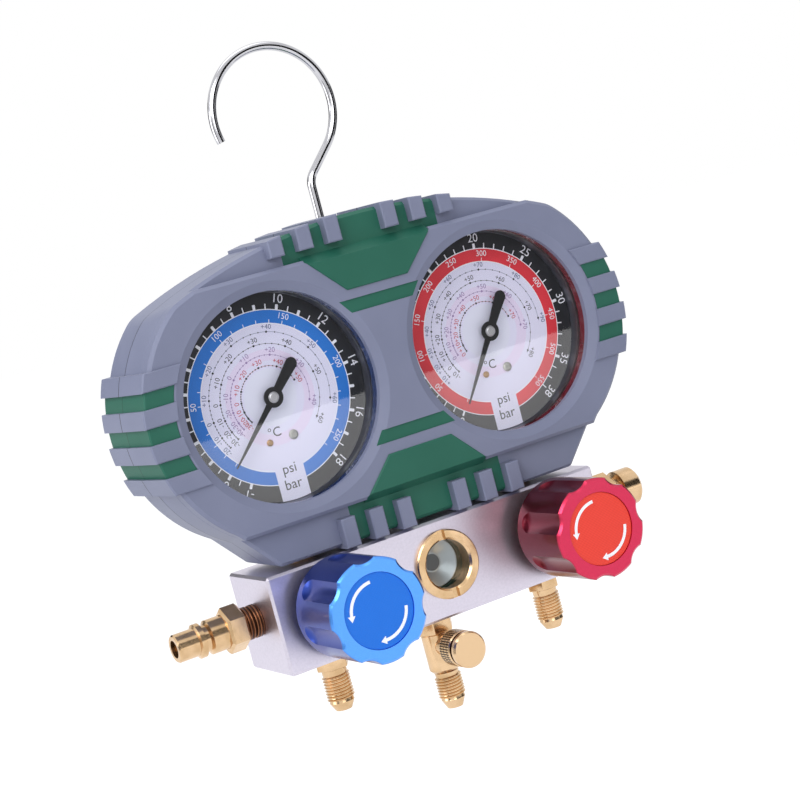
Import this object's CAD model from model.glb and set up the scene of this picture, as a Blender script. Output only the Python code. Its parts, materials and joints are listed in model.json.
import json
from math import cos, exp, pi, radians, sin

import bpy
from mathutils import Matrix, Quaternion, Vector


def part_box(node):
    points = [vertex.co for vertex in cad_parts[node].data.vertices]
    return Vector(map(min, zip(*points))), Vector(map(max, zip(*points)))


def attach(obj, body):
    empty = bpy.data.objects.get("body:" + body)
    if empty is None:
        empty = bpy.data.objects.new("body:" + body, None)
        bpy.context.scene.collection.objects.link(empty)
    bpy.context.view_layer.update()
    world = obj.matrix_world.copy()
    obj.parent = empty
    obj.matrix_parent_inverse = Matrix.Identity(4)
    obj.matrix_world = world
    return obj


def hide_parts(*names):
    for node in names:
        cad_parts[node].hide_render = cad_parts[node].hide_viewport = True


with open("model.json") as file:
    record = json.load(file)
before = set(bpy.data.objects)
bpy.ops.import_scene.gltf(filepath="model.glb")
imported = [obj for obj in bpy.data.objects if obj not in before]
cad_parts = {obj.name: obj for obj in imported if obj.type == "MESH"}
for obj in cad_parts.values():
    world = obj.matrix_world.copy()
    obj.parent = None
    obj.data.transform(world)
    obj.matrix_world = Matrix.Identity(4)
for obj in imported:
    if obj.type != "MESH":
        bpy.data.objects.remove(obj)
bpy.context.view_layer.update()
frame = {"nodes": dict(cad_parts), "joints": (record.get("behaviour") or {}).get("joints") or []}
nodes = frame["nodes"]
print("frame loaded,", len(nodes), "CAD nodes")

# Places are in millimetres from the middle of the block's front lower edge, with y going back
mm = 0.001
blockLow, blockHigh = (Vector(corner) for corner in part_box("manifold_block"))
origin = Vector(((blockLow.x + blockHigh.x) / 2, blockLow.y, blockLow.z))
printLift = 0.03  # how far ink stands off what it is printed on


def spot(x, y, z):  # such a place in the frame's metres
    return origin + Vector((x, y, z)) * mm


def lowCorner(node):
    return (Vector(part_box(node)[0]) - origin) / mm


def highCorner(node):
    return (Vector(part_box(node)[1]) - origin) / mm


hinges = [joint for joint in frame["joints"] if joint["type"] == "hinge"]
pivots = {joint["name"]: (Vector(joint["pos_m"]) - origin) / mm for joint in hinges}


def both(*names):  # the low side's and the high side's node of each
    return [side + "_" + name for name in names for side in ("low", "high")]


# Shader values as plain expressions
class Value:
    def __init__(self, tree, socket):
        self.tree = tree
        self.socket = socket

    def maths(self, kind, first, second=None):
        node = self.tree.nodes.new("ShaderNodeMath")
        node.operation = kind
        for slot, item in zip(node.inputs, (first, second)):
            if isinstance(item, Value):
                self.tree.links.new(item.socket, slot)
            elif item is not None:
                slot.default_value = item
        return Value(self.tree, node.outputs[0])

    def __add__(self, other):
        return self.maths("ADD", self, other)

    def __radd__(self, other):
        return self.maths("ADD", other, self)

    def __sub__(self, other):
        return self.maths("SUBTRACT", self, other)

    def __rsub__(self, other):
        return self.maths("SUBTRACT", other, self)

    def __mul__(self, other):
        return self.maths("MULTIPLY", self, other)

    def __rmul__(self, other):
        return self.maths("MULTIPLY", other, self)

    def __truediv__(self, other):
        return self.maths("DIVIDE", self, other)

    def __rtruediv__(self, other):
        return self.maths("DIVIDE", other, self)

    def __lt__(self, other):
        return self.maths("LESS_THAN", self, other)

    def __gt__(self, other):
        return self.maths("GREATER_THAN", self, other)

    def larger(self, other):
        return self.maths("MAXIMUM", self, other)

    def inside(self, low, high):
        return (self > low) * (self < high)

    def ramp(self, low, high):  # 0 at low, 1 at high
        return self.maths("MINIMUM", ((self - low) / (high - low)).larger(0.0), 1.0)

    def root(self):
        return self.maths("SQRT", self)

    def size(self):
        return self.maths("ABSOLUTE", self)

    def wave(self):
        return self.maths("SINE", self)

    def log(self):
        return self.maths("LOGARITHM", self, exp(1))

    def offset(self, step):  # distance to the nearest multiple of step
        return self.maths("FLOORED_MODULO", self + step / 2, step) - step / 2

    def bearing(self, other):  # degrees, clockwise from straight up for x.bearing(z)
        return self.maths("ARCTAN2", self, other) * (180 / pi)


class Paint:
    def __init__(self, name, colour, rough=0.5, metal=0.0, coat=0.0, ior=1.5):
        self.material = bpy.data.materials.new(name)
        self.material.use_nodes = True
        self.tree = self.material.node_tree
        self.shader = self.tree.nodes["Principled BSDF"]
        self.shader.inputs["Base Color"].default_value = (*colour, 1.0)
        self.shader.inputs["Roughness"].default_value = rough
        self.shader.inputs["Metallic"].default_value = metal
        self.shader.inputs["Coat Weight"].default_value = coat
        self.shader.inputs["IOR"].default_value = ior

    def node(self, kind, settings=None, inputs=None):
        made = self.tree.nodes.new(kind)
        for key, value in (settings or {}).items():
            setattr(made, key, value)
        for key, value in (inputs or {}).items():
            source = value.socket if isinstance(value, Value) else value
            if isinstance(source, bpy.types.NodeSocket):
                self.tree.links.new(source, made.inputs[key])
            else:
                made.inputs[key].default_value = source
        return made

    def place(self):
        return self.node("ShaderNodeTexCoord").outputs["Object"]

    def around(self, x, y, z):  # distances in millimetres from a point given on the block's axes
        split = self.node("ShaderNodeSeparateXYZ", None, {0: self.place()})
        middle = spot(x, y, z) / mm
        return [Value(self.tree, split.outputs[i]) / mm - middle[i] for i in range(3)]

    def noise(self, scale, detail=2.0):
        settings = {"Vector": self.place(), "Scale": scale, "Detail": detail}
        return Value(self.tree, self.node("ShaderNodeTexNoise", None, settings).outputs[0])

    def blend(self, factor, first, second):  # sockets 6, 7 and output 2 are the Mix node's colours
        colours = [(*item, 1.0) if isinstance(item, tuple) else item for item in (first, second)]
        settings = {"data_type": "RGBA", "clamp_factor": True}
        return self.node("ShaderNodeMix", settings, {0: factor, 6: colours[0], 7: colours[1]}).outputs[2]

    def feed(self, name, value):
        self.tree.links.new(value.socket if isinstance(value, Value) else value, self.shader.inputs[name])

    def relief(self, height, depth, strength=1.0):
        made = self.node("ShaderNodeBump", None, {"Height": height, "Distance": depth, "Strength": strength})
        self.feed("Normal", made.outputs[0])

    def surface(self, factor, first, second):  # a mix of two shaders in place of the plain one
        parts = {0: factor, 1: first.outputs[0], 2: second.outputs[0]}
        mix = self.node("ShaderNodeMixShader", None, parts)
        self.tree.links.new(mix.outputs[0], self.tree.nodes["Material Output"].inputs["Surface"])


def dress(paint, *names):
    for name in names:
        thing = nodes[name] if isinstance(name, str) else name
        thing.data.materials.clear()
        thing.data.materials.append(paint.material)


def darker(colour, share):
    return tuple(c * share for c in colour)


# Casing
casing = {
    "grey": (0.192, 0.208, 0.302),
    "greyShade": (0.174, 0.190, 0.278),
    "greyRough": 0.46,
    "green": (0.017, 0.120, 0.080),
    "greenShade": (0.012, 0.104, 0.068),
    "greenRough": 0.52,
    "seam": lowCorner("rear_casing").y,
    "seamHalf": 0.28,
    "seamShare": 0.25,  # how bright the seam is beside its plastic
    "cloud": 35.0,
    "grain": 2600.0,
}


def mouldedPlastic(name, colour, shade, rough, seam):
    paint = Paint(name, colour, rough, ior=1.38)
    fromSeam = paint.around(0, casing["seam"], 0)[1]
    line = fromSeam.size() < casing["seamHalf"]
    skin = paint.blend(paint.noise(casing["cloud"], 3.0).ramp(0.35, 0.7), colour, shade)
    paint.feed("Base Color", paint.blend(line * seam, skin, darker(colour, casing["seamShare"])))
    grain = paint.noise(casing["grain"])
    paint.feed("Roughness", grain * 0.12 + (rough - 0.06))
    paint.relief(grain, 0.05 * mm, 0.5)
    return paint


casingPaint = mouldedPlastic("casingGrey", casing["grey"], casing["greyShade"], casing["greyRough"], 1.0)
trimPaint = mouldedPlastic("trimGreen", casing["green"], casing["greenShade"], casing["greenRough"], 0.6)
dress(casingPaint, "front_casing", "rear_casing")
dress(trimPaint, "top_trim_front", "top_trim_rear", "bottom_trim_front", "upper_strip", "lower_strip")
dress(trimPaint, "left_stripes_front", "left_stripes_rear", "right_stripes_front", "right_stripes_rear")

# Metals
brassTone = (0.73, 0.51, 0.305)
castTone = (0.50, 0.31, 0.15)
metals = {
    "turnedBrass": {
        "colour": brassTone,
        "shade": (0.60, 0.40, 0.215),
        "rough": 0.22,
        "on": ["sight_ring", "valve_core", *both("plug", "gland_nut")],
    },
    "castBrass": {
        "colour": castTone,
        "rough": 0.40,
        "on": both("movement", "sector", "gauge_stem", "bourdon_tube"),
    },
    "plainSteel": {
        "colour": (0.42, 0.42, 0.44),
        "rough": 0.30,
        "on": ["core_pin", "casing_screws", "hook_bush", *both("spindle", "valve_stem")],
    },
    "hookChrome": {
        "colour": (0.56, 0.56, 0.59),
        "shade": (0.50, 0.50, 0.53),
        "rough": 0.10,
        "grain": 2500.0,
        "on": ["hook"],
    },
    "pressedSteel": {
        "colour": (0.32, 0.33, 0.36),
        "rough": 0.45,
        "on": both("gauge_case"),
    },
}


def turnedMetal(name, finish):
    colour, rough = finish["colour"], finish["rough"]
    paint = Paint(name, colour, rough, metal=1.0)
    cloud = paint.noise(140.0, 4.0)
    shade = finish.get("shade", darker(colour, 0.86))
    paint.feed("Base Color", paint.blend(cloud.ramp(0.4, 0.65), colour, shade))
    paint.feed("Roughness", cloud * 0.16 + (rough - 0.08))
    paint.relief(paint.noise(finish.get("grain", 900.0)), 0.02 * mm, 0.4)
    return paint


metalPaints = {name: turnedMetal(name, finish) for name, finish in metals.items()}
for name, finish in metals.items():
    dress(metalPaints[name], *finish["on"])

sealRings = {
    "pitch": 1.4,
    "valley": (0.055, 0.022, 0.012),
    "ridge": (0.26, 0.11, 0.055),
}


def ridgedCopper():
    paint = Paint("darkCopper", (0.17, 0.07, 0.035), 0.34, metal=1.0)
    along = paint.around(0, 0, 0)[0]
    ridge = (along * (2 * pi / sealRings["pitch"])).wave()
    paint.feed("Base Color", paint.blend(ridge.ramp(-0.4, 0.8), sealRings["valley"], sealRings["ridge"]))
    paint.relief(ridge, 0.3 * mm, 0.9)
    return paint


capGrip = {
    "ridges": 44,
    "band": (5.2, 12.3),  # behind the cap's face
    "bandRadius": 6.7,
    "groove": (2.7, 4.6),
    "grooveRadius": 5.8,
    "crossCut": 2.6,
    "ridgeTone": (0.78, 0.54, 0.29),
    "cutTone": (0.075, 0.040, 0.012),
    "grooveTone": (0.20, 0.11, 0.05),
}


def knurledBrass():
    paint = Paint("knurledBrass", (0.68, 0.46, 0.255), 0.24, metal=1.0)
    axis = pivots["access_cap_turn"]
    x, y, z = paint.around(axis.x, lowCorner("access_cap").y, axis.z)
    turn = x.bearing(z) * radians(capGrip["ridges"])
    reach = (x * x + z * z).root()
    band = y.inside(*capGrip["band"]) * (reach > capGrip["bandRadius"])
    groove = y.inside(*capGrip["groove"]) * (reach > capGrip["grooveRadius"])
    cross = (y * capGrip["crossCut"]).wave().ramp(-0.9, 0.2)
    mark = turn.wave().ramp(-0.55, 0.45) * (cross * 0.55 + 0.45)
    worn = paint.blend(mark, capGrip["cutTone"], capGrip["ridgeTone"])
    skin = paint.blend(band, brassTone, worn)
    paint.feed("Base Color", paint.blend(groove, skin, capGrip["grooveTone"]))
    paint.relief(band * mark, 0.6 * mm, 1.0)
    return paint


dialScrews = {
    "platedSpan": (2.0, 9.0),  # the right screw of each dial is plated, the left one bare
    "bare": (castTone, (0.42, 0.24, 0.10)),
    "plated": ((0.50, 0.50, 0.47), (0.30, 0.30, 0.27)),
}


def screwHeads():
    paint = Paint("screwHeads", (0.55, 0.34, 0.15), 0.34, metal=1.0)
    across = [paint.around(*pivots[turn])[0] for turn in both("needle_turn")]
    silver = across[0].inside(*dialScrews["platedSpan"]) + across[1].inside(*dialScrews["platedSpan"])
    grain = paint.noise(1500.0)
    bare = paint.blend(grain, *dialScrews["bare"])
    plated = paint.blend(grain, *dialScrews["plated"])
    paint.feed("Base Color", paint.blend(silver, bare, plated))
    return paint


dress(ridgedCopper(), *both("plug_seals"))
dress(knurledBrass(), "access_cap")
dress(screwHeads(), "dial_screws")

block = {
    "satin": ((0.685, 0.645, 0.745), (0.63, 0.595, 0.69)),
    "pocketDepth": (8.6, 28.6),  # the sight glass pocket, seen through the glass
    "pocketRadius": 12.5,
    "pocketTone": (0.33, 0.33, 0.36),
    "boreRadius": 3.4,
    "boreTone": (0.02, 0.02, 0.022),
}


def satinBlock():
    paint = Paint("satinAluminium", (0.66, 0.62, 0.72), 0.36, metal=1.0)
    fine = paint.noise(3200.0)
    speck = paint.noise(1100.0, 3.0)
    x, y, z = paint.around(0, 0, pivots["low_knob_turn"].z)  # the sight glass is level with the knobs
    reach = (x * x + z * z).root()
    pocket = y.inside(*block["pocketDepth"]) * (reach < block["pocketRadius"])
    skin = paint.blend(speck.ramp(0.35, 0.7), *block["satin"])
    skin = paint.blend(pocket, skin, block["pocketTone"])
    skin = paint.blend(pocket * (reach < block["boreRadius"]), skin, block["boreTone"])
    paint.feed("Base Color", skin)
    paint.feed("Roughness", fine * 0.12 + 0.30)
    paint.relief(fine, 0.03 * mm, 0.5)
    return paint


dress(satinBlock(), "manifold_block")

# Knobs: the face is bright, the fluted side deeper
knobs = {
    "rimDepth": (0.5, 1.4),  # the bright face ends here
    "weave": 5.2,
    "low": {
        "name": "blue",
        "face": (0.105, 0.37, 1.0),
        "flutes": (0.022, 0.052, 0.31),
        "disc": ((0.005, 0.165, 0.72), (0.004, 0.150, 0.67)),
    },
    "high": {
        "name": "red",
        "face": (0.64, 0.030, 0.090),
        "flutes": (0.17, 0.008, 0.022),
        "disc": ((0.90, 0.060, 0.034), (0.72, 0.038, 0.022)),
    },
}


def anodised(name, bright, deep):
    paint = Paint(name, bright, 0.30, metal=0.85, coat=0.2)
    behind = paint.around(0, lowCorner("low_knob").y, 0)[1]
    fine = paint.noise(2400.0)
    shade = paint.blend(fine.ramp(0.3, 0.7), bright, darker(bright, 0.93))
    paint.feed("Base Color", paint.blend(behind.ramp(*knobs["rimDepth"]), shade, deep))
    paint.feed("Roughness", fine * 0.12 + 0.24)
    paint.relief(fine, 0.02 * mm, 0.4)
    return paint


def wovenDisc(name, colour, deeper):
    paint = Paint(name, colour, 0.42, coat=0.05, ior=1.38)
    x, y, z = paint.around(0, 0, 0)
    weave = ((x + z) * knobs["weave"]).wave() * ((x - z) * knobs["weave"]).wave()
    paint.feed("Base Color", paint.blend(weave.ramp(-0.6, 0.6), colour, deeper))
    paint.relief(weave, 0.04 * mm, 0.5)
    return paint


for side in ("low", "high"):
    look = knobs[side]
    dress(anodised(look["name"] + "Knob", look["face"], look["flutes"]), side + "_knob")
    dress(wovenDisc(look["name"] + "Disc", *look["disc"]), side + "_knob_disc")
print("casing, metals and knobs dressed")

# Gauges: angles in degrees clockwise from the top. Each temperature circle has its radius, the rise and
# drop of its curve, ln(pressure in bar) = rise - drop / kelvin, its labels and its ink.
gauges = {
    "low": {
        "rim": ("blueRim", (0.010, 0.026, 0.10), (0.014, 0.036, 0.13)),
        "ring": ((0.016, 0.205, 0.70), (0.012, 0.175, 0.62)),
        "zero": -135.0,
        "perBar": 15.54,
        "first": -1,
        "last": 18,
        "bold": 1.0,
        "thin": 0.5,
        "psiStep": 10.0,
        "barNumbers": [-1, *range(0, 19, 2)],
        "psiNumbers": range(50, 251, 50),
        "scales": [
            (25.2, 9.896, 2363.0, range(-20, 61, 10), "slate"),
            (20.7, 9.242, 2120.0, range(-30, 61, 10), "ink"),
            (16.4, 9.31, 2035.0, range(-40, 41, 10), "violet"),
            (12.2, 9.33, 2156.0, range(-30, 51, 10), "crimson"),
        ],
    },
    "high": {
        "rim": ("redRim", (0.11, 0.007, 0.016), (0.14, 0.010, 0.022)),
        "ring": ((0.80, 0.034, 0.052), (0.70, 0.026, 0.042)),
        "zero": -146.4,
        "perBar": 7.66,
        "first": 0,
        "last": 38,
        "bold": 5.0,
        "thin": 1.0,
        "psiStep": 50.0,
        "barNumbers": [*range(0, 36, 5), 38],
        "psiNumbers": range(50, 551, 50),
        "scales": [
            (25.2, 10.607, 2592.0, range(10, 91, 10), "slate"),
            (20.7, 10.38, 2394.0, range(-10, 81, 10), "ink"),
            (16.4, 10.30, 2340.0, range(0, 71, 10), "violet"),
            (12.2, 10.365, 2393.0, range(0, 71, 10), "crimson"),
        ],
    },
}
inks = {
    "white": (0.90, 0.91, 0.96),
    "ink": (0.018, 0.020, 0.026),
    "slate": (0.10, 0.13, 0.26),
    "violet": (0.30, 0.20, 0.42),
    "crimson": (0.52, 0.045, 0.075),
}
dial = {
    "front": lowCorner("low_dial").y,
    "white": (0.78, 0.77, 0.93),
    "lilac": (0.80, 0.71, 0.89),
    "pale": (0.79, 0.80, 0.92),
    "black": (0.012, 0.013, 0.017),
    "lilacBand": (14.2, 18.6),
    "paleRadius": 11.0,
    "ring": (28.54, 33.64),
    "ringLines": ((28.25, 28.60), (33.55, 33.90)),
    "notches": (28.54, 29.9),
    "notchHalf": 0.14,
    "thinTicks": (33.8, 35.9),
    "thinHalf": 0.23,
    "boldTicks": (33.8, 35.8),
    "boldHalf": 0.58,
    "circleSpan": (-168.0, 150.0),
    "circleHalf": 0.10,
    "circleShare": 0.8,
    "smallDot": 0.075,  # radius squared
    "largeDot": 0.20,
    "tabHalf": 6.1,
    "tabTop": -20.0,
    "tabStart": 28.0,
}
barPerPsi = 0.0689476
airPressure = 1.013  # bar
zeroKelvin = 273.15


def dottedCircle(paint, skin, scale, reach, angle, bar, arc):
    radius, rise, drop, labels, ink = scale
    pressure = (bar + airPressure).larger(0.05)
    kelvin = drop / (rise - pressure.log())
    warm = kelvin - zeroKelvin
    perDegree = arc * pressure * drop / (kelvin * kelvin)
    ring = reach - radius
    span = warm.inside(labels[0] - 0.5, labels[-1] + 0.5) * angle.inside(*dial["circleSpan"])
    small = warm.offset(2.0) * perDegree
    large = warm.offset(10.0) * perDegree
    dots = (small * small + ring * ring < dial["smallDot"]) + (large * large + ring * ring < dial["largeDot"])
    line = ring.size() < dial["circleHalf"]
    skin = paint.blend(line * span * dial["circleShare"], skin, inks[ink])
    return paint.blend(dots * span, skin, inks["violet" if ink == "violet" else "ink"])


def dialFace(side, data):
    paint = Paint(side + "DialPrint", dial["white"], 0.5)
    x, y, z = paint.around(*pivots[side + "_needle_turn"])
    reach = (x * x + z * z).root()
    angle = x.bearing(z)
    bar = (angle - data["zero"]) / data["perBar"]
    arc = reach * radians(data["perBar"])  # millimetres along the circle for each bar
    onScale = bar.inside(data["first"] - 0.06, data["last"] + 0.06)
    skin = paint.blend(reach.inside(*dial["lilacBand"]), dial["white"], dial["lilac"])
    skin = paint.blend(reach < dial["paleRadius"], skin, dial["pale"])
    for scale in data["scales"]:
        skin = dottedCircle(paint, skin, scale, reach, angle, bar, arc)
    colour = paint.blend(paint.noise(60.0).ramp(0.3, 0.7), *data["ring"])
    skin = paint.blend(reach.inside(*dial["ring"]), skin, colour)
    psi = (bar / barPerPsi).offset(data["psiStep"]) * arc * barPerPsi
    notch = (psi.size() < dial["notchHalf"]) * reach.inside(*dial["notches"]) * (bar > -0.05) * onScale
    skin = paint.blend(notch, skin, inks["white"])
    skin = paint.blend(reach > dial["ring"][1], skin, dial["black"])
    marks = reach.inside(*dial["ringLines"][0]) + reach.inside(*dial["ringLines"][1])
    for kind in ("thin", "bold"):
        nearTick = (bar.offset(data[kind]) * arc).size() < dial[kind + "Half"]
        marks = marks + nearTick * reach.inside(*dial[kind + "Ticks"]) * onScale
    skin = paint.blend(marks.ramp(0.0, 1.0), skin, inks["white"])
    tab = (x.size() < dial["tabHalf"]) * (z < dial["tabTop"]) * (reach > dial["tabStart"])
    paint.feed("Base Color", paint.blend(tab, skin, dial["white"]))
    paint.feed("Roughness", paint.noise(900.0) * 0.15 + 0.42)
    return paint


def inkPaint(name):
    paint = Paint(name + "Ink", inks[name], 0.5)
    paint.feed("Roughness", paint.noise(1800.0) * 0.2 + 0.4)
    return paint


inkPaints = {name: inkPaint(name) for name in inks}
lettering = {
    "bar": {"radius": 38.0, "height": 4.9},
    "psi": {"radius": 31.6, "height": 3.3},
    "degrees": {"radius": 1.85, "height": 2.8},  # outside its own circle
    "units": [("psi", 180.0, 28.2, 5.6), ("bar", 180.0, 34.4, 5.6), ("°C", 189.0, 13.6, 5.2)],
}


def dialWords(data):  # what stands where: for each ink, rows of text, angle, radius, height, lean
    words = {name: [] for name in inks}

    def put(ink, number, angle, row, circle=0.0):
        sign = "+" if ink != "white" and number > 0 else ""
        words[ink].append((sign + str(number), angle, circle + row["radius"], row["height"], radians(angle)))

    for number in data["barNumbers"]:
        put("white", number, data["zero"] + data["perBar"] * number, lettering["bar"])
    for number in data["psiNumbers"]:
        put("white", number, data["zero"] + data["perBar"] * barPerPsi * number, lettering["psi"])
    for radius, rise, drop, labels, ink in data["scales"]:
        for number in labels:
            pressure = exp(rise - drop / (number + zeroKelvin)) - airPressure
            angle = data["zero"] + data["perBar"] * pressure
            if dial["circleSpan"][0] < angle < dial["circleSpan"][1]:
                put(ink, number, angle, lettering["degrees"], radius)
    words["ink"] += [(*unit, 0.0) for unit in lettering["units"]]
    return words


def writeDial(side, data):  # one mesh for each ink
    middle = pivots[side + "_needle_turn"]
    upright = Matrix.Rotation(pi / 2, 4, "X")
    for ink, entries in dialWords(data).items():
        bpy.ops.object.select_all(action="DESELECT")
        made = []
        for text, angle, radius, height, lean in entries:
            bpy.ops.object.text_add()
            label = bpy.context.object
            label.data.body = text
            label.data.align_x = "CENTER"
            label.data.align_y = "CENTER"
            label.data.size = height * mm
            label.data.resolution_u = 3
            x = middle.x + radius * sin(radians(angle))
            z = middle.z + radius * cos(radians(angle))
            place = spot(x, dial["front"] - printLift, z)
            label.matrix_world = Matrix.Translation(place) @ Matrix.Rotation(lean, 4, "Y") @ upright
            made.append(label)
        for label in made:
            label.select_set(True)
        bpy.context.view_layer.objects.active = made[0]
        bpy.ops.object.convert(target="MESH")
        bpy.ops.object.join()
        bpy.ops.object.transform_apply(location=True, rotation=True, scale=True)
        piece = bpy.context.object
        piece.name = side + "_numbers_" + ink
        dress(inkPaints[ink], piece)
        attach(piece, "manifold")


pointerLook = {
    "black": (0.006, 0.006, 0.007),
    "hubRadius": 2.2,
    "hubTones": ((0.46, 0.46, 0.48), (0.62, 0.62, 0.64)),
    "toolMarks": 9.0,
}


def pointer(side):
    paint = Paint(side + "Pointer", pointerLook["black"], 0.40)
    x, y, z = paint.around(*pivots[side + "_needle_turn"])
    reach = (x * x + z * z).root()
    hub = reach < pointerLook["hubRadius"]
    marks = (reach * pointerLook["toolMarks"]).wave().ramp(-1.0, 1.0)
    bright = paint.blend(marks, *pointerLook["hubTones"])
    paint.feed("Base Color", paint.blend(hub, pointerLook["black"], bright))
    paint.feed("Metallic", hub)
    return paint


def clearSheet(name, tint, ior, gloss):
    paint = Paint(name, tint, 0.02)
    through = paint.node("ShaderNodeBsdfTransparent", None, {"Color": (*tint, 1.0)})
    shine = paint.node("ShaderNodeBsdfGlossy", None, {"Color": (1.0, 1.0, 1.0, 1.0), "Roughness": gloss})
    edge = Value(paint.tree, paint.node("ShaderNodeFresnel", None, {"IOR": ior}).outputs[0])
    inner = Value(paint.tree, paint.node("ShaderNodeNewGeometry").outputs["Backfacing"])
    outer = (edge * 2.0).ramp(0.0, 1.0) * (1.0 - inner)  # the outer face shines for both
    paint.surface(outer, through, shine)
    return paint


def enamel(name, colour, edge):
    paint = Paint(name, colour, 0.22, coat=0.5)
    cloud = paint.noise(90.0, 3.0)
    paint.feed("Base Color", paint.blend(cloud.ramp(0.35, 0.7), colour, edge))
    paint.feed("Roughness", cloud * 0.1 + 0.17)
    return paint


for side, data in gauges.items():
    dress(enamel(*data["rim"]), side + "_bezel")
    dress(dialFace(side, data), side + "_dial")
    dress(pointer(side), side + "_needle")
    writeDial(side, data)
dress(clearSheet("clearLens", (0.985, 0.985, 0.99), 1.46, 0.02), *both("lens"))
dress(clearSheet("sightWindow", (0.93, 0.96, 0.95), 1.45, 0.01), "sight_glass")


def softSeal(name, colour):
    paint = Paint(name, colour, 0.5)
    grain = paint.noise(1600.0, 3.0)
    paint.feed("Base Color", paint.blend(grain, colour, darker(colour, 0.7)))
    paint.relief(grain, 0.03 * mm, 0.5)
    return paint


dress(softSeal("sealRubber", (0.012, 0.040, 0.026)), "sight_o_ring", "access_gasket")
dress(softSeal("valveSeat", (0.72, 0.70, 0.66)), *both("valve_seal"))
print("gauges printed")


# Modelling helpers, all in millimetres. A line is drawn corner by corner and left in edit mode.
def drawLine(name, points):
    bpy.ops.object.select_all(action="DESELECT")
    bpy.ops.mesh.primitive_plane_add(size=0.0001, location=points[0])
    piece = bpy.context.object
    piece.name = name
    bpy.ops.object.mode_set(mode="EDIT")
    bpy.ops.mesh.merge(type="CENTER")
    for start, stop in zip(points, points[1:]):
        move = Vector(stop) - Vector(start)
        bpy.ops.mesh.extrude_vertices_move(TRANSFORM_OT_translate={"value": move})
    bpy.ops.mesh.select_all(action="SELECT")
    return piece


def sideways(outline):  # (radius, height) corners to points on the XZ plane
    return [(r * mm, 0.0, z * mm) for r, z in outline]


def closeUp(piece):
    bpy.ops.mesh.select_all(action="SELECT")
    bpy.ops.mesh.remove_doubles(threshold=0.002 * mm)
    bpy.ops.mesh.normals_make_consistent(inside=False)
    bpy.ops.object.mode_set(mode="OBJECT")
    bpy.ops.object.transform_apply(location=True, rotation=True, scale=True)
    return piece


def turned(name, outline):  # about the upright axis at zero
    piece = drawLine(name, sideways(outline))
    bpy.ops.mesh.spin(steps=56, angle=2 * pi, center=(0, 0, 0), axis=(0, 0, 1))
    return closeUp(piece)


# The thread of the hose fittings, 7/16 inch across
flare = {
    "radius": 5.556,
    "root": 4.836,
    "pitch": 1.27,
    "toothRise": (0.12, 0.52, 0.68, 1.08),  # foot, crest, crest and foot of one turn
    "steps": 48,
    "core": 4.86,  # the rod inside the thread
    "collar": 5.0,
    "mouth": 3.3,
    "bore": 2.5,
}


def thread(name, low, turns):  # wound upwards from low
    root, crest, pitch = flare["root"], flare["radius"], flare["pitch"]
    corners = [(root, low)]
    for k in range(turns):
        for radius, rise in zip((root, crest, crest, root), flare["toothRise"]):
            corners.append((radius, low + k * pitch + rise))
    corners.append((root, low + turns * pitch))
    piece = drawLine(name, sideways(corners))
    bpy.ops.object.mode_set(mode="OBJECT")
    bpy.ops.object.transform_apply(location=True, rotation=True, scale=True)
    winding = piece.modifiers.new("winding", "SCREW")
    winding.axis = "Z"
    winding.angle = 2 * pi
    winding.screw_offset = pitch * mm
    winding.steps = flare["steps"]
    winding.render_steps = flare["steps"]
    winding.use_merge_vertices = True
    bpy.ops.object.modifier_apply(modifier="winding")
    bpy.ops.object.mode_set(mode="EDIT")
    bpy.ops.mesh.select_all(action="SELECT")
    bpy.ops.mesh.remove_doubles(threshold=0.004 * mm)
    bpy.ops.mesh.select_all(action="DESELECT")
    bpy.ops.mesh.select_non_manifold()
    bpy.ops.mesh.fill_holes(sides=0)
    return closeUp(piece)


def hexagon(name, flats, low, high, edge):
    bpy.ops.object.select_all(action="DESELECT")
    bpy.ops.mesh.primitive_cylinder_add(
        vertices=6,
        radius=flats / 2 / cos(pi / 6) * mm,
        depth=(high - low) * mm,
        location=(0, 0, (low + high) / 2 * mm),
        rotation=(0, 0, pi / 6),
    )
    piece = bpy.context.object
    piece.name = name
    bpy.ops.object.transform_apply(location=True, rotation=True, scale=True)
    rounding = piece.modifiers.new("rounding", "BEVEL")
    rounding.width = edge * mm
    rounding.segments = 3
    bpy.ops.object.modifier_apply(modifier="rounding")
    return piece


def joined(name, parts):
    bpy.ops.object.select_all(action="DESELECT")
    for part in parts:
        part.select_set(True)
    bpy.context.view_layer.objects.active = parts[0]
    bpy.ops.object.join()
    piece = bpy.context.object
    piece.name = name
    bpy.ops.object.shade_smooth_by_angle(angle=radians(28))
    return piece


def settle(piece, move, turn=None):  # the place goes into the mesh, the piece stays at the origin
    bpy.ops.object.select_all(action="DESELECT")
    piece.select_set(True)
    bpy.context.view_layer.objects.active = piece
    piece.matrix_world = Matrix.Translation(move) @ (turn or Matrix.Identity(4))
    bpy.ops.object.transform_apply(location=True, rotation=True, scale=True)
    return piece


# Hose ports, from the shank inside the block at the top down to the cone
port = {
    "hexEdge": 0.45,
    "hexFoot": -6.5,
    "threadTop": -8.9,
    "threadFoot": -19.9,
    "turns": 8,
    "boreTop": -8.0,
}


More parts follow.
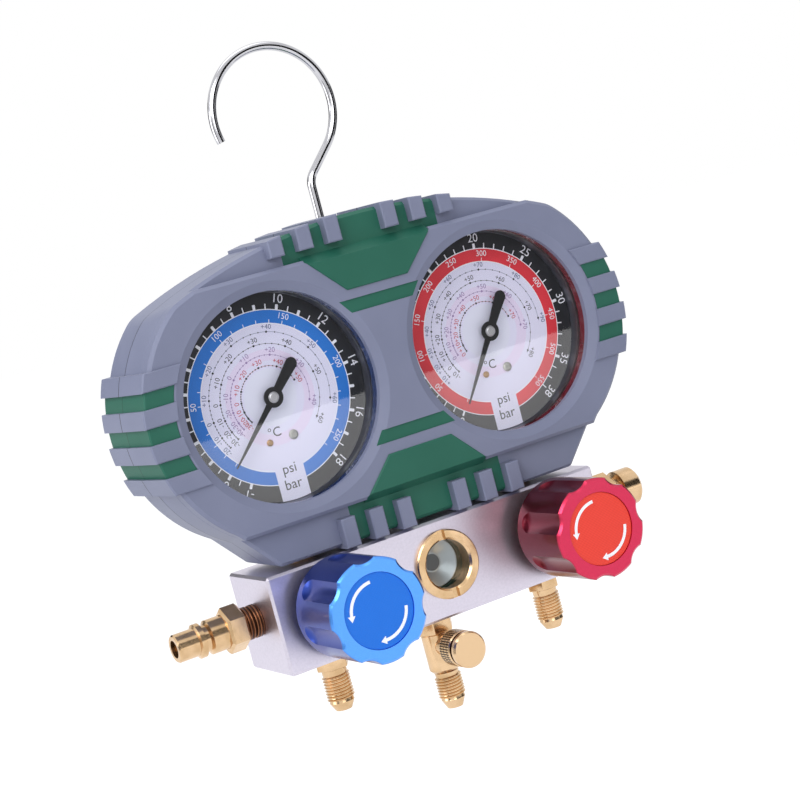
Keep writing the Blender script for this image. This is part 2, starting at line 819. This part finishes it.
def makePort():
    low, high = lowCorner("low_hose_port"), highCorner("low_hose_port")
    core, collar, bore = flare["core"], flare["collar"], flare["bore"]
    top, start, foot, mouth = high.z, port["threadTop"], port["threadFoot"], low.z
    shank = [(0, top), (core - 0.6, top), (core, top - 0.8), (core, -0.3), (0, -0.3)]
    neck = [(0, port["hexFoot"] + 0.3), (collar, port["hexFoot"] + 0.3), (collar, start + 0.3), (core, start)]
    end = [(core, foot + 0.2), (collar, foot - 0.1), (collar, foot - 0.3), (flare["mouth"], mouth)]
    hole = [(bore, mouth), (bore, port["boreTop"]), (0, port["boreTop"])]
    parts = [
        hexagon("portHex", high.y - low.y, port["hexFoot"], 0.0, port["hexEdge"]),
        turned("portShank", shank),
        turned("portNeck", neck + end + hole),
        thread("portThread", foot, port["turns"]),
    ]
    return joined("low_port_threaded", parts)


lowPort = makePort()
bpy.ops.object.duplicate()
highPort = bpy.context.object
highPort.name = "high_port_threaded"
for piece, node in zip((lowPort, highPort), both("hose_port")):
    middle = (lowCorner(node) + highCorner(node)) / 2
    settle(piece, spot(middle.x, middle.y, 0.0))
    dress(metalPaints["turnedBrass"], piece)
    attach(piece, "manifold")
    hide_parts(node)
print("hose ports threaded")

# Service tee: a stalk with a threaded foot, and an arm that comes forward
tee = {
    "flats": 14.0,
    "hexEdge": 0.5,
    "hexFoot": -9.0,
    "shank": 5.5,
    "stalk": 6.5,
    "stalkFoot": -24.2,
    "threadTop": -26.7,
    "threadFoot": -37.1,
    "turns": 7,
    "boreTop": -22.0,
    "armRadius": 4.5,
    "armTurns": 6,
    "armBore": (2.7, 1.6),
}
teeLow = lowCorner("service_tee")
teeHigh = highCorner("service_tee")
teeY = teeHigh.y - tee["flats"] / 2  # the hexagon is what reaches furthest back


def makeArm():
    core, plain, tip = flare["core"], tee["armRadius"], teeY - teeLow.y
    wide, narrow = tee["armBore"]
    outside = [(0, 0), (plain, 0), (plain, tip - 10.8), (core, tip - 10.4)]
    end = [(core, tip - 0.3), (core - 0.16, tip), (wide, tip)]
    hole = [(wide, tip - 11.0), (narrow, tip - 11.0), (narrow, 4.0), (0, 4.0)]
    arm = [turned("teeArm", outside + end + hole), thread("teeArmThread", tip - 9.6, tee["armTurns"])]
    forward = Matrix.Rotation(pi / 2, 4, "X")
    return [settle(part, Vector((0, 0, pivots["access_cap_turn"].z * mm)), forward) for part in arm]


def makeTee():
    core, collar, bore = flare["core"], flare["collar"], flare["bore"]
    shank, stalk, top, foot = tee["shank"], tee["stalk"], teeHigh.z, tee["stalkFoot"]
    start, end, mouth = tee["threadTop"], tee["threadFoot"], teeLow.z
    upper = [(0, top), (shank - 0.6, top), (shank, top - 0.8), (shank, -0.5), (stalk - 0.2, -0.5)]
    middle = [(stalk - 0.2, tee["hexFoot"] - 0.2), (stalk, tee["hexFoot"] - 0.5), (stalk, foot)]
    lower = [(stalk - 0.9, foot - 1.0), (collar, foot - 1.6), (collar, start + 0.3), (core, start)]
    tip = [(core, end + 0.2), (collar, end - 0.1), (flare["mouth"], mouth), (bore, mouth)]
    hole = [(bore, tee["boreTop"]), (0, tee["boreTop"])]
    parts = [
        hexagon("teeHex", tee["flats"], tee["hexFoot"], 0.0, tee["hexEdge"]),
        turned("teeStalk", upper + middle + lower + tip + hole),
        thread("teeFootThread", end, tee["turns"]),
        *makeArm(),
    ]
    return joined("service_tee_threaded", parts)


teePiece = settle(makeTee(), spot(0.0, teeY, 0.0))
dress(metalPaints["turnedBrass"], teePiece)
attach(teePiece, "manifold")
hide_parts("service_tee")
print("tee threaded")

# Arrows on the knob discs: starts and sweeps run anticlockwise from the right, a negative sweep clockwise
arrow = {
    "radius": 11.2,
    "half": 0.62,
    "headHalf": 1.55,
    "tip": 2.3,
    "steps": 20,
    "ways": {"open": (93.0, 80.0), "close": (-8.0, -82.0)},
}


def outward(degrees):
    return Vector((cos(radians(degrees)), 0, sin(radians(degrees))))


def makeArrow(name, middle, start, sweep):
    way = 1 if sweep > 0 else -1
    inner = middle + outward(start) * (arrow["radius"] - arrow["half"]) * mm
    outer = middle + outward(start) * (arrow["radius"] + arrow["half"]) * mm
    piece = drawLine(name, [inner, outer])
    bpy.ops.mesh.spin(steps=arrow["steps"], angle=radians(abs(sweep)), center=middle, axis=(0, way, 0))
    end = middle + outward(start + sweep) * arrow["radius"] * mm
    spread = arrow["headHalf"] / arrow["half"]
    bpy.ops.mesh.extrude_edges_move(TRANSFORM_OT_translate={"value": (0, 0, 0)})
    bpy.ops.transform.resize(value=(spread, spread, spread), center_override=end)
    ahead = outward(start + sweep + 90 * way) * arrow["tip"] * mm
    bpy.ops.mesh.extrude_edges_move(TRANSFORM_OT_translate={"value": ahead})
    bpy.ops.mesh.merge(type="CENTER")
    return closeUp(piece)


for side in ("low", "high"):
    axis = pivots[side + "_knob_turn"]
    middle = spot(axis.x, lowCorner(side + "_knob_disc").y - printLift, axis.z)
    for label, (start, sweep) in arrow["ways"].items():
        piece = makeArrow(side + "_arrow_" + label, middle, start, sweep)
        dress(inkPaints["white"], piece)
        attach(piece, side + "_handle")
print("arrows drawn")

# Floor and room, in metres
studio = {
    "floor": -0.345,
    "floorSize": 12.0,
    "floorGrey": 0.80,  # the floor as the object meets it
    "shadowGrey": 0.36,  # the floor as it is seen, over its own glow
    "floorGlow": 0.80,
    "roomGlow": 0.62,
    "roomTint": (0.93, 0.95, 1.0, 1.0),
    "white": (1.0, 1.0, 1.0, 1.0),
}
bpy.ops.object.select_all(action="DESELECT")
bpy.ops.mesh.primitive_plane_add(size=studio["floorSize"], location=(0, 0, studio["floor"]))
floor = bpy.context.object
floor.name = "floor"


def seenFactor(tree):  # 1 for rays that show the background: from the camera, off metal and through glass
    path = tree.nodes.new("ShaderNodeLightPath")
    kinds = ("Is Camera Ray", "Is Glossy Ray", "Is Transmission Ray")
    camera, glossy, clear = (Value(tree, path.outputs[kind]) for kind in kinds)
    return camera.larger(glossy.larger(clear))


def floorPaint():
    paint = Paint("paleFloor", (0.5, 0.5, 0.5), 1.0)
    grey, shadow = ((studio[name],) * 3 + (1.0,) for name in ("floorGrey", "shadowGrey"))
    plain = paint.node("ShaderNodeBsdfDiffuse", None, {"Color": grey})
    catch = paint.node("ShaderNodeBsdfDiffuse", None, {"Color": shadow})
    glow = paint.node("ShaderNodeEmission", None, {"Color": studio["white"], "Strength": studio["floorGlow"]})
    shown = paint.node("ShaderNodeAddShader", None, {0: catch.outputs[0], 1: glow.outputs[0]})
    paint.surface(seenFactor(paint.tree), plain, shown)
    return paint


dress(floorPaint(), floor)

world = bpy.data.worlds.new("studio")
bpy.context.scene.world = world
world.use_nodes = True
tree = world.node_tree
tree.nodes.clear()
output = tree.nodes.new("ShaderNodeOutputWorld")
roomGlow = tree.nodes.new("ShaderNodeBackground")
roomGlow.inputs[0].default_value = studio["roomTint"]
roomGlow.inputs[1].default_value = studio["roomGlow"]
whiteGlow = tree.nodes.new("ShaderNodeBackground")
whiteGlow.inputs[0].default_value = studio["white"]
chooser = tree.nodes.new("ShaderNodeMixShader")
tree.links.new(seenFactor(tree).socket, chooser.inputs[0])
tree.links.new(roomGlow.outputs[0], chooser.inputs[1])
tree.links.new(whiteGlow.outputs[0], chooser.inputs[2])
tree.links.new(chooser.outputs[0], output.inputs[0])

# Lamps and cards face the middle of the object, and standing cards face the front
objectMiddle = Vector((0.006, -0.03, -0.145))
standing = (pi / 2, 0, 0)
lamps = {
    "keyLeft": {"place": (-0.9, -0.75, 0.65), "width": 0.8, "height": 0.8, "power": 9.0},
    "frontFill": {"place": (-0.15, -1.3, 0.25), "width": 0.7, "height": 0.5, "power": 3.0},
    "topLight": {"place": (0.1, 0.1, 1.1), "width": 1.2, "height": 0.8, "power": 4.0},
    "leftSide": {"place": (-1.2, 0.2, -0.1), "width": 0.6, "height": 1.0, "power": 5.0},
}
cards = {
    "upperCard": {"place": (0.50, -0.72, 0.09), "width": 0.90, "height": 0.60, "turn": standing},
    "lowerCard": {"place": (0.40, -0.72, -0.27), "width": 0.60, "height": 0.12, "turn": standing, "level": 1.6},
    "rightCard": {"place": (1.0, -0.1, -0.1), "width": 0.9, "height": 0.5},
    "rearCard": {"place": (-0.35, 0.9, 0.15), "width": 0.7, "height": 0.4},
    "leftCard": {"place": (-0.80, -0.35, -0.28), "width": 0.22, "height": 0.8},
}


def facingMiddle(place):
    return (objectMiddle - Vector(place)).to_track_quat("-Z", "Y").to_euler()


def softBox(name, place, width, height, power):
    data = bpy.data.lights.new(name, "AREA")
    data.shape = "RECTANGLE"
    data.size = width
    data.size_y = height
    data.energy = power
    lamp = bpy.data.objects.new(name, data)
    bpy.context.scene.collection.objects.link(lamp)
    lamp.location = place
    lamp.rotation_euler = facingMiddle(place)


# Only metal and glass see a card, which is black unless it has a level
def reflectorCard(name, place, width, height, turn=None, level=0.0):
    bpy.ops.object.select_all(action="DESELECT")
    bpy.ops.mesh.primitive_plane_add(size=1.0, location=place, rotation=turn or facingMiddle(place))
    card = bpy.context.object
    card.name = name
    card.scale = (width, height, 1.0)
    card.visible_camera = False
    card.visible_diffuse = False
    card.visible_shadow = False
    card.visible_transmission = False
    paint = Paint(name + "Paint", (0.01, 0.01, 0.01), 1.0)
    paint.shader.inputs["Emission Color"].default_value = studio["white"]
    paint.shader.inputs["Emission Strength"].default_value = level
    dress(paint, card)


for name, lamp in lamps.items():
    softBox(name, **lamp)
for name, card in cards.items():
    reflectorCard(name, **card)
print("studio lit")

# Camera: degrees and metres, with the lens for a 36 mm sensor
view = {
    "aim": (0.006363, -0.031, -0.145263),
    "azimuth": -26.488,
    "elevation": 5.794,
    "roll": -14.693,
    "distance": 0.77002,
    "lens": 89.159,
    "sensor": 36.0,
}
azimuth = radians(view["azimuth"])
elevation = radians(view["elevation"])
back = Vector((sin(azimuth) * cos(elevation), -cos(azimuth) * cos(elevation), sin(elevation)))
cameraData = bpy.data.cameras.new("camera")
cameraData.lens = view["lens"]
cameraData.sensor_width = view["sensor"]
camera = bpy.data.objects.new("camera", cameraData)
bpy.context.scene.collection.objects.link(camera)
camera.location = Vector(view["aim"]) + back * view["distance"]
camera.rotation_mode = "QUATERNION"
camera.rotation_quaternion = back.to_track_quat("Z", "Y") @ Quaternion((0, 0, 1), radians(view["roll"]))
bpy.context.scene.camera = camera
bpy.context.scene.view_settings.view_transform = "Standard"

print("scene ready")
